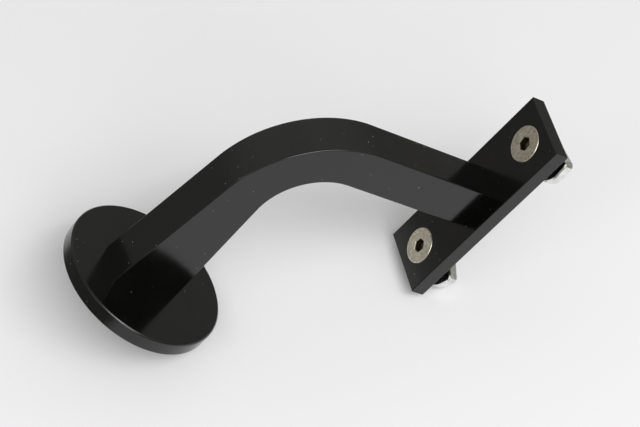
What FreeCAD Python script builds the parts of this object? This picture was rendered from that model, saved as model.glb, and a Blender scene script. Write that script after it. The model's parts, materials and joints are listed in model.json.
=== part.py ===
# Wall bracket for a slotted handrail: a round wall plate, a tapered arm bent through a right
# angle, and a flat saddle plate that carries the rail on two countersunk screws and slot nuts.
#
# Frame: origin at the centre of the wall plate's back face, +X out of the wall, +Z from the wall
# plate up to the rail, Y across the arm. All lengths are in millimetres and angles in degrees.
import FreeCAD
import Part
import math
import os

V = FreeCAD.Vector
X_AXIS = V(1, 0, 0)
Y_AXIS = V(0, 1, 0)
Z_AXIS = V(0, 0, 1)
ORIGIN = V(0, 0, 0)

# Wall plate
wall_plate_d = 55.2
wall_plate_t = 5.0
wall_plate_rim = 0.5  # chamfer round the front edge

# Arm, cut from a solid bar and bent towards the rail
arm_w = 13.8
arm_depth = 14.8  # depth of the straight leg under the saddle plate
reach = 77.3  # wall to the middle of the rail
rise = 77.2  # wall plate's centre to the underside of the saddle plate
root_top = 9.3  # inner side of the arm above the wall plate's centre
root_depth = 23.0  # depth of the arm where it meets the wall plate
taper = 9.7  # slope of the arm's outer side between the wall plate and the bend
bend_inner_r = 20.0
bend_outer_r = 37.0
arm_edge = 0.4  # rounding of the arm's long edges

# Saddle plate
saddle_len = 71.0
saddle_w = 24.5
saddle_t = 5.2
saddle_edge = 0.35  # rounding of the plate's edges

# Rail screws, countersunk with a hexagon socket, and the slot nuts that they carry
rail_screw_spacing = 52.4
rail_thread_d = 6.0
rail_hole_d = 6.6
rail_head_d = 12.0
rail_socket = 4.0
rail_socket_depth = 2.5
rail_socket_turns = {"inner": 6.0, "outer": 49.0}
rail_screw_len = 12.0
nut_slack = 2.1  # between saddle plate and nut, which leaves room for the lips of the rail's slot

nut_len = 25.0
nut_w = 11.4
nut_t = 3.4
nut_turn_r = 6.4  # two opposite corners, so that the nut can turn in the slot
nut_stop_r = 1.8  # the other two, which stop it when it lies across the slot
nut_edge = 0.4
nut_turns = {"inner": 17.5, "outer": -5.5}

# Hidden screws that hold the plates to the ends of the arm
fixing_thread_d = 4.0
fixing_hole_d = 4.4
fixing_head_d = 8.0
fixing_socket = 2.5
fixing_socket_depth = 1.7
fixing_grip = 7.0  # thread in the arm
fixing_drop = 9.3  # wall plate's screw below the plate's centre
fixing_spacing = 9.2  # saddle plate's two screws

# Threaded hole for the wall's stud
stud_core_d = 6.8
stud_hole_d = 8.4
stud_depth = 20.0

# Common details
head_rim = 0.3  # straight rim of a countersunk head
head_proud = {"rail": 0.2, "fixing": 0.0}  # head above its plate
socket_floor = 0.45  # radius of the drilled cone in a socket's floor, as a share of the key's size
thread_gap = 0.05  # between a screw's thread and the thread that it sits in
hole_runout = 2.0  # a blind hole past the end of its screw
tip_chamfer = 0.5
drill_point = 118.0

wall_face = wall_plate_t
leg_outer = reach + arm_depth / 2
leg_inner = reach - arm_depth / 2
saddle_top = rise + saddle_t
nut_base = saddle_top + nut_slack
rail_screw_x = {"inner": reach - rail_screw_spacing / 2, "outer": reach + rail_screw_spacing / 2}
saddle_fixing_x = {"inner": reach - fixing_spacing / 2, "outer": reach + fixing_spacing / 2}


def placed(shape, point, direction):
    """Turn a shape made along +Z to lie along a direction, with its origin at a point."""
    copy = shape.copy()
    copy.Placement = FreeCAD.Placement(point, FreeCAD.Rotation(Z_AXIS, direction))
    return copy


def turned_solid(profile):
    """Revolve a closed profile of (radius, height) pairs about the Z axis."""
    points = [V(radius, 0, height) for radius, height in profile]
    face = Part.Face(Part.makePolygon(points + points[:1]))
    return face.revolve(ORIGIN, Z_AXIS, 360)


def drilled(d, depth):
    """A blind hole along +Z, with the cone that a drill leaves at its end."""
    r = d / 2
    point = r / math.tan(math.radians(drill_point / 2))
    return turned_solid([(0, 0), (r, 0), (r, depth), (0, depth + point)])


def hexagon(across_flats, height):
    """A hexagonal prism along +Z with two corners on the X axis."""
    corner = across_flats / math.sqrt(3)
    angles = [math.radians(60 * i) for i in range(6)]
    points = [V(corner * math.cos(a), corner * math.sin(a), 0) for a in angles]
    return Part.Face(Part.makePolygon(points + points[:1])).extrude(V(0, 0, height))


def countersunk_screw(thread_d, head_d, length, socket, socket_depth, socket_turn=0.0):
    """A screw along +Z with the flat of its head at the origin and a 90 degree cone under it."""
    thread_r = thread_d / 2
    head_r = head_d / 2
    neck = head_rim + head_r - thread_r
    body = turned_solid([
        (0, 0),
        (head_r, 0),
        (head_r, head_rim),
        (thread_r, neck),
        (thread_r, length - tip_chamfer),
        (thread_r - tip_chamfer, length),
        (0, length),
    ])
    cone_r = socket * socket_floor
    cone_depth = cone_r / math.tan(math.radians(drill_point / 2))
    cone = Part.makeCone(cone_r, 0, cone_depth, V(0, 0, socket_depth))
    recess = hexagon(socket, socket_depth).fuse(cone)
    recess.rotate(ORIGIN, Z_AXIS, socket_turn)
    return body.cut(recess)


def countersunk_hole(hole_d, head_d, proud, depth):
    """The hole for such a screw: its cone is the head's own, so that the head seats in it."""
    hole_r = hole_d / 2
    mouth_r = head_d / 2 + head_rim - proud
    return turned_solid([(0, 0), (mouth_r, 0), (hole_r, mouth_r - hole_r), (hole_r, depth), (0, depth)])


def wall_plate():
    """Round plate against the wall, with holes for the stud and for the screw into the arm."""
    plate = Part.makeCylinder(wall_plate_d / 2, wall_plate_t, ORIGIN, X_AXIS)
    rim = [e for e in plate.Edges if abs(e.BoundBox.XMin - wall_plate_t) < 1e-6 and e.Closed]
    plate = plate.makeChamfer(wall_plate_rim, rim)
    stud_hole = Part.makeCylinder(stud_hole_d / 2, wall_plate_t, ORIGIN, X_AXIS)
    fixing = countersunk_hole(fixing_hole_d, fixing_head_d, head_proud["fixing"], wall_plate_t)
    return plate.cut(stud_hole).cut(placed(fixing, V(0, 0, -fixing_drop), X_AXIS))


def arm_outline():
    """Side view of the arm: straight inside, tapered outside, round at the bend."""
    slope = math.radians(taper)
    root_low = root_top - root_depth
    outward = V(math.sin(slope), 0, -math.cos(slope))
    inner_centre = V(leg_inner - bend_inner_r, 0, root_top + bend_inner_r)
    outer_x = leg_outer - bend_outer_r
    outer_z = root_low + ((outer_x - wall_face) * math.sin(slope) + bend_outer_r) / math.cos(slope)
    outer_centre = V(outer_x, 0, outer_z)

    root_inner = V(wall_face, 0, root_top)
    inner_start = inner_centre - Z_AXIS * bend_inner_r
    inner_middle = inner_centre + V(1, 0, -1).normalize() * bend_inner_r
    inner_end = inner_centre + X_AXIS * bend_inner_r
    tip_inner = V(leg_inner, 0, rise)
    tip_outer = V(leg_outer, 0, rise)
    outer_start = outer_centre + X_AXIS * bend_outer_r
    outer_middle = outer_centre + (outward + X_AXIS).normalize() * bend_outer_r
    outer_end = outer_centre + outward * bend_outer_r
    root_outer = V(wall_face, 0, root_low)

    return Part.Wire([
        Part.makeLine(root_inner, inner_start),
        Part.Arc(inner_start, inner_middle, inner_end).toShape(),
        Part.makeLine(inner_end, tip_inner),
        Part.makeLine(tip_inner, tip_outer),
        Part.makeLine(tip_outer, outer_start),
        Part.Arc(outer_start, outer_middle, outer_end).toShape(),
        Part.makeLine(outer_end, root_outer),
        Part.makeLine(root_outer, root_inner),
    ])


def arm():
    """The bent arm, drilled and tapped in both ends."""
    outline = Part.Face(arm_outline())
    outline.translate(V(0, -arm_w / 2, 0))
    bar = outline.extrude(V(0, arm_w, 0))
    sides = [e for e in bar.Edges if e.BoundBox.YLength < 1e-6]
    ends = (wall_face, rise)
    long_edges = [
        e for e in sides
        if not (e.BoundBox.XLength < 1e-6 and abs(e.BoundBox.XMin - ends[0]) < 1e-6)
        and not (e.BoundBox.ZLength < 1e-6 and abs(e.BoundBox.ZMin - ends[1]) < 1e-6)
    ]
    bar = bar.makeFillet(arm_edge, long_edges)
    stud = drilled(stud_core_d, stud_depth)
    fixing = drilled(fixing_thread_d + 2 * thread_gap, fixing_grip + hole_runout)
    bar = bar.cut(placed(stud, V(wall_face, 0, 0), X_AXIS))
    bar = bar.cut(placed(fixing, V(wall_face, 0, -fixing_drop), X_AXIS))
    for x in saddle_fixing_x.values():
        bar = bar.cut(placed(fixing, V(x, 0, rise), -Z_AXIS))
    return bar


def saddle_plate():
    """Flat plate under the rail: rail screws from below, the arm's two screws from above."""
    corner = V(reach - saddle_len / 2, -saddle_w / 2, rise)
    plate = Part.makeBox(saddle_len, saddle_w, saddle_t, corner)
    level = [e for e in plate.Edges if e.BoundBox.ZLength < 1e-6]
    plate = plate.makeFillet(saddle_edge, level)
    rail_hole = countersunk_hole(rail_hole_d, rail_head_d, head_proud["rail"], saddle_t)
    fixing = countersunk_hole(fixing_hole_d, fixing_head_d, head_proud["fixing"], saddle_t)
    for x in rail_screw_x.values():
        plate = plate.cut(placed(rail_hole, V(x, 0, rise), Z_AXIS))
    for x in saddle_fixing_x.values():
        plate = plate.cut(placed(fixing, V(x, 0, saddle_top), -Z_AXIS))
    return plate


def fixing_screw(plate_t, back, direction):
    """Screw through a plate into the arm's end, with its head at a point on the plate's back."""
    length = plate_t + fixing_grip
    screw = countersunk_screw(
        fixing_thread_d, fixing_head_d, length, fixing_socket, fixing_socket_depth)
    return placed(screw, back - direction * head_proud["fixing"], direction)


def rail_screw(side):
    """Screw through the saddle plate into a slot nut, head towards the arm."""
    turn = rail_socket_turns[side]
    screw = countersunk_screw(
        rail_thread_d, rail_head_d, rail_screw_len, rail_socket, rail_socket_depth, turn)
    return placed(screw, V(rail_screw_x[side], 0, rise - head_proud["rail"]), Z_AXIS)


def slot_nut(side):
    """Hammer nut: two opposite corners are round, so that it turns once it is in the slot."""
    x = nut_w / 2
    y = nut_len / 2
    blank = Part.makeBox(nut_w, nut_len, nut_t, V(-x, -y, 0))
    for corner_r, signs in ((nut_turn_r, ((-1, 1), (1, -1))), (nut_stop_r, ((1, 1), (-1, -1)))):
        for sign_x, sign_y in signs:
            corner = V(sign_x * x, sign_y * y, 0)
            upright = [
                e for e in blank.Edges
                if e.BoundBox.ZLength > nut_t / 2
                and e.BoundBox.Center.distanceToPoint(corner + V(0, 0, nut_t / 2)) < 1e-3
            ]
            blank = blank.makeFillet(corner_r, upright)
    rims = [e for e in blank.Edges if e.BoundBox.ZLength < 1e-6]
    blank = blank.makeChamfer(nut_edge, rims)
    blank = blank.cut(Part.makeCylinder(rail_thread_d / 2 + thread_gap, nut_t))
    blank.rotate(ORIGIN, Z_AXIS, nut_turns[side])
    blank.translate(V(rail_screw_x[side], 0, nut_base))
    return blank


os.makedirs("parts", exist_ok=True)
nodes = {
    "wall_plate": wall_plate(),
    "arm": arm(),
    "saddle_plate": saddle_plate(),
    "wall_plate_screw": fixing_screw(wall_plate_t, V(0, 0, -fixing_drop), X_AXIS),
}
for side in ("inner", "outer"):
    saddle_back = V(saddle_fixing_x[side], 0, saddle_top)
    nodes["saddle_plate_screw_" + side] = fixing_screw(saddle_t, saddle_back, -Z_AXIS)
    nodes["rail_screw_" + side] = rail_screw(side)
    nodes["slot_nut_" + side] = slot_nut(side)

for name, shape in nodes.items():
    shape.exportStep("parts/" + name + ".step")
    print(name, "solids", len(shape.Solids), "valid", shape.isValid(), "volume", round(shape.Volume, 1))
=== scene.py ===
"""Studio scene of a handrail bracket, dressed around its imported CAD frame.

The bracket keeps its own frame (X out of the wall, Z up to the rail) and lies on a pale table as it
would on a bench: on the rim of its wall plate and on its inner slot nut. The table is therefore a
tilted plane through those two places. Lengths are in metres and angles in degrees, unless a comment
says otherwise. A height in the room is the sine of the elevation over the table.
"""
import json
import math

import bmesh
import bpy
from mathutils import Matrix, Vector


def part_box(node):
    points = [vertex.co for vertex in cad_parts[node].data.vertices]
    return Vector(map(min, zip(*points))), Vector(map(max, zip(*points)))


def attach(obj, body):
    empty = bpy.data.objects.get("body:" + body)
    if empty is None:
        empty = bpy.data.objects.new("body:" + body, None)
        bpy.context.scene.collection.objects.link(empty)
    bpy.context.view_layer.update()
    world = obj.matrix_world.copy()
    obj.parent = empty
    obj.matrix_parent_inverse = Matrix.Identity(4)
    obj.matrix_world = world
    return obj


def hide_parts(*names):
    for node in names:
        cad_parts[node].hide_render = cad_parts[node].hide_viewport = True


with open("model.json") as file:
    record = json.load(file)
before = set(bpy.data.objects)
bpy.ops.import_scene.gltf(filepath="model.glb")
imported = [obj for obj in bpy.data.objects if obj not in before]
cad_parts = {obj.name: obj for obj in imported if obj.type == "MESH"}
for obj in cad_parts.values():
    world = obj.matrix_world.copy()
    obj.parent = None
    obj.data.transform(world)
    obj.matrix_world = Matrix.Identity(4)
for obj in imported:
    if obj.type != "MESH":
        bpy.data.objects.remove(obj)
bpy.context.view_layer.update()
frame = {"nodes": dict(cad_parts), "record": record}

MM = 0.001

# Camera, in the bracket's frame
CAMERA_PLACE = Vector((356.0, 368.9, -313.2)) * MM
CAMERA_FORWARD = Vector((-0.51567, -0.622783, 0.58841))
CAMERA_RIGHT = Vector((0.599471, 0.228408, 0.767115))
CAMERA_LENS = 106.4  # mm, for the sensor below
CAMERA_SENSOR = 36.0
CAMERA_CLIP = (0.01, 20)

# Table
TABLE_RADIUS = 0.30
TABLE_SHIFT = 0.155  # of its centre, from the disc towards the nuts
TABLE_FADE = 0.045  # width of its soft edge
TABLE_SIDES = 96
TABLE_COLOUR = (0.872, 0.866, 0.888, 1)

# Room: its strength rises from LOW at table height towards HIGH, and falls to TOP overhead
ROOM_LOW = 0.19
ROOM_HIGH = 0.68
ROOM_TURN_HEIGHT = 0.72
ROOM_TURN = 0.54  # strength where the fall begins
ROOM_TOP = 0.28
ROOM_SIDE = 0.55  # more on the bracket's +Y side, where the windows are
ROOM_SIDE_HEIGHTS = (0.10, 0.40)  # between which that side light sets in
ROOM_LOW_TINT = (1.0, 0.98, 0.86, 1)
ROOM_HIGH_TINT = (1.0, 1.0, 1.0, 1)
ROOM_TINT_HEIGHT = 0.9  # from which the high tint is reached

# Soft boxes: name, elevation, azimuth, width, height and radiance
LAMPS = (
    ("window", 52, 112, 1.30, 0.80, 3.3),
    ("strip", 54, 109, 0.80, 0.05, 20.0),
    ("fill", 28, 95, 0.60, 0.40, 3.5),
    ("side_window", 33, 28, 0.50, 0.30, 3.2),
)
LAMP_DISTANCE = 1.5
LAMP_TARGET = Vector((45.0, 0.0, 35.0)) * MM

# Materials: each one's darker and lighter colour, the dust on it and the painted shade in the screw
# sockets
COATING = ((0.0014, 0.0014, 0.0013, 1), (0.0024, 0.0024, 0.0022, 1))
COATING_IOR = 1.53
DUST = (0.42, 0.41, 0.38, 1)
DUST_CELLS = 330  # per metre
DUST_RADIUS = 0.062  # of the largest speck, in cells
STEEL = ((0.55, 0.50, 0.40, 1), (0.78, 0.74, 0.63, 1))
# Painted shade: a dark colour given to the screw sockets' walls and floor, where shade falls in the
# recess
SOCKET_PAINTED_SHADE = (0.16, 0.13, 0.09, 1)
ZINC = ((0.68, 0.71, 0.67, 1), (0.88, 0.89, 0.88, 1))
COLOUR_NOISE = (0.35, 0.65)  # noise values that stand for the first and the second colour
GLOSS_NOISE = (0.3, 0.7)  # and for the smoothest and the roughest places

# How far the wall plate's chamfer is shaded as a radius
RIM_ROUND = 0.5
RIM_SLOPE = (0.3, 0.9)  # share of +X in the normal of the chamfer's faces
RIM_PLACE = 0.45  # least distance of its corners from the axis, in plate diameters
RIM_TOLERANCE = 0.01 * MM

# Rail screws, in mm: M6 with a 4 mm socket, each turned as in its CAD node
SCREW_TURNS = {"rail_screw_inner": 6.0, "rail_screw_outer": 49.0}
SCREW_SIDES = 72
SOCKET = 4.0  # across its flats
SOCKET_DEPTH = 2.5
SOCKET_CHAMFER = 0.16
SOCKET_CHAMFER_DEPTH = 0.22
SOCKET_FLOOR = 0.45  # radius of the drilled cone, in socket widths
SOCKET_CONE = 0.27  # its depth, in socket widths
SOCKET_RINGS = 3  # of points, from the cone to the foot of the chamfer
HEAD_RINGS = (0.55, 0.75, 0.9)  # on the head's flat face, in head radii
HEAD_RIM = 0.25  # rounding of the head's rim
HEAD_RIM_STEPS = 5
HEAD_EDGE = 0.05  # height of the straight edge below it
THREAD_R = 3.0
THREAD_PITCH = 1.0
THREAD_DEPTH = 0.61  # in pitches
THREAD_RUNOUT = 0.9  # length over which the thread deepens below the head
THREAD_CREST = 0.0625  # half width of its flat crest, in pitches
THREAD_FLANK = 0.3125  # width of one flank, in pitches
THREAD_RINGS = 9  # per turn
TIP_CHAMFER = 0.65
SHARP_ANGLE = 32


def corner(node, high):
    """Lowest or highest corner of a CAD node."""
    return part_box(node)[1 if high else 0]


def table_plane():
    """A point on the table, its upward normal and a direction along it."""
    rim = Vector((0, 0, corner("wall_plate", True).z))
    nut = Vector((corner("slot_nut_inner", False).x, 0, corner("slot_nut_inner", True).z))
    along = (nut - rim).normalized()
    up = along.cross(Vector((0, 1, 0))).normalized()
    if up.x < 0:
        up = -up
    return rim, up, along


TABLE_POINT, TABLE_UP, TABLE_ALONG = table_plane()


class Nodes:
    """Short hand for building a node tree."""

    def __init__(self, tree):
        self.tree = tree
        tree.nodes.clear()

    def add(self, kind, **settings):
        node = self.tree.nodes.new(kind)
        for name, value in settings.items():
            if name in node.inputs:
                node.inputs[name].default_value = value
            else:
                setattr(node, name, value)
        return node

    def link(self, source, target):
        self.tree.links.new(source, target)


def new_material(name):
    material = bpy.data.materials.new(name)
    material.use_nodes = True
    return material, Nodes(material.node_tree)


def surface_point(n, scale):
    """The bracket's own coordinates, in cells of a given number per metre."""
    coords = n.add("ShaderNodeTexCoord")
    mapping = n.add("ShaderNodeMapping")
    mapping.inputs["Scale"].default_value = (scale, scale, scale)
    n.link(coords.outputs["Object"], mapping.inputs["Vector"])
    return mapping.outputs["Vector"]


def noise(n, scale, detail):
    node = n.add("ShaderNodeTexNoise", Scale=1.0, Detail=detail)
    n.link(surface_point(n, scale), node.inputs["Vector"])
    return node.outputs["Fac"]


def remap(n, value, low, high, to_low, to_high):
    node = n.add("ShaderNodeMapRange")
    names = ("From Min", "From Max", "To Min", "To Max")
    for name, number in zip(names, (low, high, to_low, to_high)):
        node.inputs[name].default_value = number
    n.link(value, node.inputs["Value"])
    return node.outputs[0]


def combine(n, operation, first, second):
    """One number out of two, by a math node."""
    node = n.add("ShaderNodeMath", operation=operation)
    n.link(first, node.inputs[0])
    n.link(second, node.inputs[1])
    return node.outputs[0]


def bump(n, height, distance, strength, normal=None):
    node = n.add("ShaderNodeBump", Strength=strength, Distance=distance)
    n.link(height, node.inputs["Height"])
    if normal is not None:
        n.link(normal, node.inputs["Normal"])
    return node.outputs[0]


def mix_colour(n, factor, first, second):
    """Mix of two colours, each one a socket or plain numbers."""
    node = n.add("ShaderNodeMix", data_type="RGBA")
    n.link(factor, node.inputs["Factor"])
    for colour, name in ((first, "A"), (second, "B")):
        socket = [s for s in node.inputs if s.name == name and s.type == "RGBA"][0]
        if isinstance(colour, tuple):
            socket.default_value = colour
        else:
            n.link(colour, socket)
    return [s for s in node.outputs if s.type == "RGBA"][0]


def mottle(n, scale, detail, colours):
    """A colour that wanders between two."""
    return mix_colour(n, remap(n, noise(n, scale, detail), *COLOUR_NOISE, 0, 1), *colours)


def uneven_gloss(n, scale, detail, smoothest, roughest):
    return remap(n, noise(n, scale, detail), *GLOSS_NOISE, smoothest, roughest)


def dust(n):
    """Mask of a few round specks lying on the surface, some fainter than others."""
    cells = n.add("ShaderNodeTexVoronoi", feature="F1", Scale=1.0)
    n.link(surface_point(n, DUST_CELLS), cells.inputs["Vector"])
    speck = remap(n, cells.outputs["Distance"], DUST_RADIUS, DUST_RADIUS * 0.5, 0.0, 1.0)
    colour = n.add("ShaderNodeSeparateColor")
    n.link(cells.outputs["Color"], colour.inputs[0])
    return combine(n, "MULTIPLY", speck, colour.outputs[0])


def dressed(material, n, shader, colour, gloss, normal):
    """The material, with its shader's three uneven inputs linked."""
    for value, name in ((colour, "Base Color"), (gloss, "Roughness"), (normal, "Normal")):
        n.link(value, shader.inputs[name])
    out = n.add("ShaderNodeOutputMaterial")
    n.link(shader.outputs[0], out.inputs[0])
    return material


def black_coating():
    """Glossy black powder coat: faint orange peel, uneven gloss and a little dust."""
    material, n = new_material("black_coating")
    shader = n.add("ShaderNodeBsdfPrincipled")
    shader.inputs["IOR"].default_value = COATING_IOR
    colour = mix_colour(n, dust(n), mottle(n, 90, 4, COATING), DUST)
    peel = bump(n, noise(n, 900, 2), distance=0.00001, strength=0.35)
    waves = bump(n, noise(n, 260, 1), distance=0.00002, strength=0.25, normal=peel)
    return dressed(material, n, shader, colour, uneven_gloss(n, 120, 2, 0.14, 0.17), waves)


def stainless():
    """Cold-headed stainless steel: warm grey, mottled and finely pitted, with painted shade
    darkening its sockets.
    """
    material, n = new_material("stainless_screw")
    shader = n.add("ShaderNodeBsdfPrincipled")
    shader.inputs["Metallic"].default_value = 1
    # The socket mask darkens the colour inside the sockets as painted shade in the recess
    socket_shade = n.add("ShaderNodeAttribute", attribute_type="GEOMETRY", attribute_name="socket")
    colour = mix_colour(n, socket_shade.outputs["Fac"], mottle(n, 1100, 5, STEEL), SOCKET_PAINTED_SHADE)
    pits = bump(n, noise(n, 1200, 4), distance=0.00005, strength=0.55)
    return dressed(material, n, shader, colour, uneven_gloss(n, 700, 4, 0.26, 0.42), pits)


def zinc():
    """Bright zinc plate with a faint greenish passivation."""
    material, n = new_material("zinc_nut")
    shader = n.add("ShaderNodeBsdfPrincipled")
    shader.inputs["Metallic"].default_value = 1
    waves = bump(n, noise(n, 700, 2), distance=0.00001, strength=0.25)
    colour = mottle(n, 500, 4, ZINC)
    return dressed(material, n, shader, colour, uneven_gloss(n, 600, 3, 0.16, 0.28), waves)


def dress_nodes():
    finishes = {
        "black_coating": black_coating(),
        "stainless_screw": stainless(),
        "zinc_nut": zinc(),
    }
    for part in frame["record"]["subparts"]:
        node = frame["nodes"][part["node"]]
        for slot in node.material_slots:
            slot.material = finishes[part["material_slot"]]
    for node, turn in SCREW_TURNS.items():
        threaded_screw(node, turn, finishes["stainless_screw"])
    round_rim("wall_plate", finishes["black_coating"])


def round_rim(node, material):
    """The wall plate with the chamfer round its front face shaded as part of a small radius."""
    source = frame["nodes"][node]
    mesh = source.data.copy()
    mesh.name = "rounded_" + node
    mesh.materials.clear()
    mesh.materials.append(material)
    low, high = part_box(node)
    place = source.matrix_world

    def corner_place(index):
        return place @ mesh.vertices[index].co

    normals = [corner_normal.vector.copy() for corner_normal in mesh.corner_normals]
    for face in mesh.polygons:
        first = corner_place(face.vertices[0])
        at_rim = math.hypot(first.y, first.z) > RIM_PLACE * (high.y - low.y)
        if at_rim and RIM_SLOPE[0] < face.normal.x < RIM_SLOPE[1]:
            for loop in face.loop_indices:
                point = corner_place(mesh.loops[loop].vertex_index)
                round_normal = Vector((0, point.y, point.z)).normalized()
                if point.x > high.x - RIM_TOLERANCE:
                    round_normal = Vector((1, 0, 0))
                normals[loop] = face.normal.lerp(round_normal, RIM_ROUND).normalized()
    mesh.normals_split_custom_set(normals)
    plate = bpy.data.objects.new("rounded_" + node, mesh)
    plate.matrix_world = place.copy()
    bpy.context.scene.collection.objects.link(plate)
    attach(plate, "root")
    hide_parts(node)


def thread_depth(turns):
    """How far the thread lies below its crest after some turns, as a share of its depth."""
    place = turns % 1.0
    edge = min(place, 1.0 - place)
    return min(max((edge - THREAD_CREST) / THREAD_FLANK, 0.0), 1.0)


def screw_rows(turn, length, head_r):
    """Rings of the screw from the middle of its socket, round the head, to its tip."""
    angles = [math.radians(turn) + 2 * math.pi * i / SCREW_SIDES for i in range(SCREW_SIDES)]

    def ring(height, radius):
        return [(radius * math.cos(a), radius * math.sin(a), height) for a in angles]

    def hexagon(height, wider):
        points = []
        for a in angles:
            from_flat = (a - math.radians(turn)) % (math.pi / 3) - math.pi / 6
            radius = SOCKET / 2 / math.cos(from_flat) + wider
            points.append((radius * math.cos(a), radius * math.sin(a), height))
        return points

    rows = [ring(SOCKET_DEPTH, SOCKET * SOCKET_FLOOR), hexagon(SOCKET_DEPTH, 0)]
    rows += [hexagon(SOCKET_CHAMFER_DEPTH, 0), hexagon(0.0, SOCKET_CHAMFER)]
    rows += [ring(0, head_r * share) for share in HEAD_RINGS]
    for step in range(HEAD_RIM_STEPS + 1):
        t = math.radians(90) * step / HEAD_RIM_STEPS
        rows.append(ring(HEAD_RIM * (1 - math.cos(t)), head_r - HEAD_RIM * (1 - math.sin(t))))
    rows.append(ring(HEAD_RIM + HEAD_EDGE, head_r))
    neck = HEAD_RIM + HEAD_EDGE + head_r - THREAD_R
    rows.append(ring(neck, THREAD_R))

    steps = int((length - neck) / THREAD_PITCH * THREAD_RINGS)
    for step in range(1, steps + 1):
        height = neck + (length - neck) * step / steps
        depth = THREAD_DEPTH * THREAD_PITCH * min((height - neck) / THREAD_RUNOUT, 1.0)
        widest = THREAD_R - TIP_CHAMFER + (length - height)
        row = []
        for a in angles:
            turns = (height - neck) / THREAD_PITCH - a / (2 * math.pi)
            radius = min(THREAD_R - depth * thread_depth(turns), widest)
            row.append((radius * math.cos(a), radius * math.sin(a), height))
        rows.append(row)
    return rows


def screw_mesh(name, base, rows, middles):
    """Closed mesh through rings of points in mm, with a middle point at each end."""
    count = SCREW_SIDES
    points = [base + Vector(p) * MM for row in rows + [middles] for p in row]
    first, last = len(points) - 2, len(points) - 1
    end = (len(rows) - 1) * count
    faces = []
    for start in range(0, end, count):
        for i in range(count):
            j = (i + 1) % count
            faces.append((start + i, start + j, start + count + j, start + count + i))
    faces += [((i + 1) % count, i, first) for i in range(count)]
    faces += [(end + i, end + (i + 1) % count, last) for i in range(count)]
    mesh = bpy.data.meshes.new(name)
    mesh.from_pydata(points, [], faces)
    work = bmesh.new()
    work.from_mesh(mesh)
    bmesh.ops.recalc_face_normals(work, faces=work.faces)
    work.to_mesh(mesh)
    work.free()
    mesh.shade_smooth()
    mesh.set_sharp_from_angle(angle=math.radians(SHARP_ANGLE))
    # Points inside the socket, which the stainless material darkens as painted shade
    socket = mesh.attributes.new("socket", "FLOAT", "POINT")
    in_socket = [1.0] * (SOCKET_RINGS * count)
    outside = [0.0] * ((len(rows) - SOCKET_RINGS) * count)
    socket.data.foreach_set("value", in_socket + outside + [1.0, 0.0])
    return mesh


def threaded_screw(node, turn, material):
    """A rail screw with its thread, rounded rim and chamfered socket, in its CAD node's place."""
    low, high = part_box(node)
    length, head_r = (high.z - low.z) / MM, (high.x - low.x) / 2 / MM
    base = Vector(((low.x + high.x) / 2, (low.y + high.y) / 2, low.z))
    middles = [(0, 0, SOCKET_DEPTH + SOCKET * SOCKET_CONE), (0, 0, length)]
    mesh = screw_mesh("threaded_" + node, base, screw_rows(turn, length, head_r), middles)
    mesh.materials.append(material)
    screw = bpy.data.objects.new("threaded_" + node, mesh)
    bpy.context.scene.collection.objects.link(screw)
    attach(screw, "root")
    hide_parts(node)


def stage_direction(elevation, azimuth):
    """A direction over the table: azimuth 0 from the nuts to the disc, 90 to the +Y side."""
    e, a = math.radians(elevation), math.radians(azimuth)
    flat = -TABLE_ALONG * math.cos(a) + Vector((0, 1, 0)) * math.sin(a)
    return (TABLE_UP * math.sin(e) + flat * math.cos(e)).normalized()


def make_table():
    """A pale disc with a soft edge, which lets the camera through from below."""
    mesh = bpy.data.meshes.new("table")
    side = TABLE_UP.cross(TABLE_ALONG).normalized()
    centre = TABLE_POINT + TABLE_ALONG * TABLE_SHIFT
    angles = [2 * math.pi * i / TABLE_SIDES for i in range(TABLE_SIDES)]
    ring = [centre + (TABLE_ALONG * math.cos(a) + side * math.sin(a)) * TABLE_RADIUS
            for a in angles]
    mesh.from_pydata(ring, [], [list(range(TABLE_SIDES))])
    table = bpy.data.objects.new("table", mesh)
    bpy.context.scene.collection.objects.link(table)
    if mesh.polygons[0].normal.dot(TABLE_UP) < 0:
        mesh.flip_normals()

    material, n = new_material("table")
    shader = n.add("ShaderNodeBsdfDiffuse")
    shader.inputs["Color"].default_value = TABLE_COLOUR
    clear = n.add("ShaderNodeBsdfTransparent")
    geometry = n.add("ShaderNodeNewGeometry")
    coords = n.add("ShaderNodeTexCoord")
    reach = n.add("ShaderNodeVectorMath", operation="DISTANCE")
    reach.inputs[1].default_value = centre
    n.link(coords.outputs["Object"], reach.inputs[0])
    edge = remap(n, reach.outputs["Value"], TABLE_RADIUS - TABLE_FADE, TABLE_RADIUS, 0.0, 1.0)
    mix = n.add("ShaderNodeMixShader")
    n.link(combine(n, "MAXIMUM", geometry.outputs["Backfacing"], edge), mix.inputs[0])
    n.link(shader.outputs[0], mix.inputs[1])
    n.link(clear.outputs[0], mix.inputs[2])
    out = n.add("ShaderNodeOutputMaterial")
    n.link(mix.outputs[0], out.inputs[0])
    mesh.materials.append(material)


def make_lamp(name, elevation, azimuth, width, height, radiance):
    """A soft box that faces the bracket, with its long side level."""
    data = bpy.data.lights.new(name, "AREA")
    data.shape = "RECTANGLE"
    data.size = width
    data.size_y = height
    data.energy = math.pi * width * height * radiance
    lamp = bpy.data.objects.new(name, data)
    out = stage_direction(elevation, azimuth)
    across = TABLE_UP.cross(out).normalized()
    turn = Matrix((across, out.cross(across), out)).transposed().to_4x4()
    lamp.matrix_world = Matrix.Translation(LAMP_TARGET + out * LAMP_DISTANCE) @ turn
    lamp.visible_camera = False
    bpy.context.scene.collection.objects.link(lamp)


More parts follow.
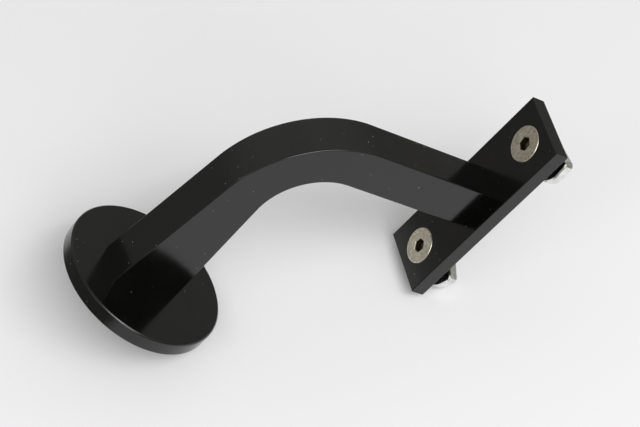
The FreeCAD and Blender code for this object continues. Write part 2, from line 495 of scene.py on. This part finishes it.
def make_world():
    """A room that is dim and warm at table height, lighter above it and dim again overhead."""
    world = bpy.data.worlds.new("room")
    bpy.context.scene.world = world
    world.use_nodes = True
    n = Nodes(world.node_tree)
    coords = n.add("ShaderNodeTexCoord")
    dot = n.add("ShaderNodeVectorMath", operation="DOT_PRODUCT")
    dot.inputs[1].default_value = TABLE_UP
    n.link(coords.outputs["Generated"], dot.inputs[0])
    height = dot.outputs["Value"]
    direction = n.add("ShaderNodeSeparateXYZ")
    n.link(coords.outputs["Generated"], direction.inputs[0])

    rise = remap(n, height, 0.0, 1.0, ROOM_LOW, ROOM_HIGH)
    fall = remap(n, height, ROOM_TURN_HEIGHT, 1.0, ROOM_TURN, ROOM_TOP)
    side = remap(n, direction.outputs["Y"], 0.0, 1.0, 0.0, ROOM_SIDE)
    side = combine(n, "MULTIPLY", side, remap(n, height, *ROOM_SIDE_HEIGHTS, 0.0, 1.0))
    room = n.add("ShaderNodeBackground")
    n.link(combine(n, "ADD", combine(n, "MINIMUM", rise, fall), side), room.inputs["Strength"])
    warmth = remap(n, height, 0.0, ROOM_TINT_HEIGHT, 0, 1)
    n.link(mix_colour(n, warmth, ROOM_LOW_TINT, ROOM_HIGH_TINT), room.inputs["Color"])
    out = n.add("ShaderNodeOutputWorld")
    n.link(room.outputs[0], out.inputs[0])


def make_camera():
    data = bpy.data.cameras.new("camera")
    data.sensor_width = CAMERA_SENSOR
    data.lens = CAMERA_LENS
    data.clip_start, data.clip_end = CAMERA_CLIP
    camera = bpy.data.objects.new("camera", data)
    forward = CAMERA_FORWARD.normalized()
    right = (CAMERA_RIGHT - forward * CAMERA_RIGHT.dot(forward)).normalized()
    turn = Matrix((right, right.cross(forward), -forward)).transposed().to_4x4()
    camera.matrix_world = Matrix.Translation(CAMERA_PLACE) @ turn
    bpy.context.scene.collection.objects.link(camera)
    bpy.context.scene.camera = camera


dress_nodes()
make_table()
for lamp in LAMPS:
    make_lamp(*lamp)
make_world()
make_camera()
bpy.context.scene.view_settings.view_transform = "Standard"
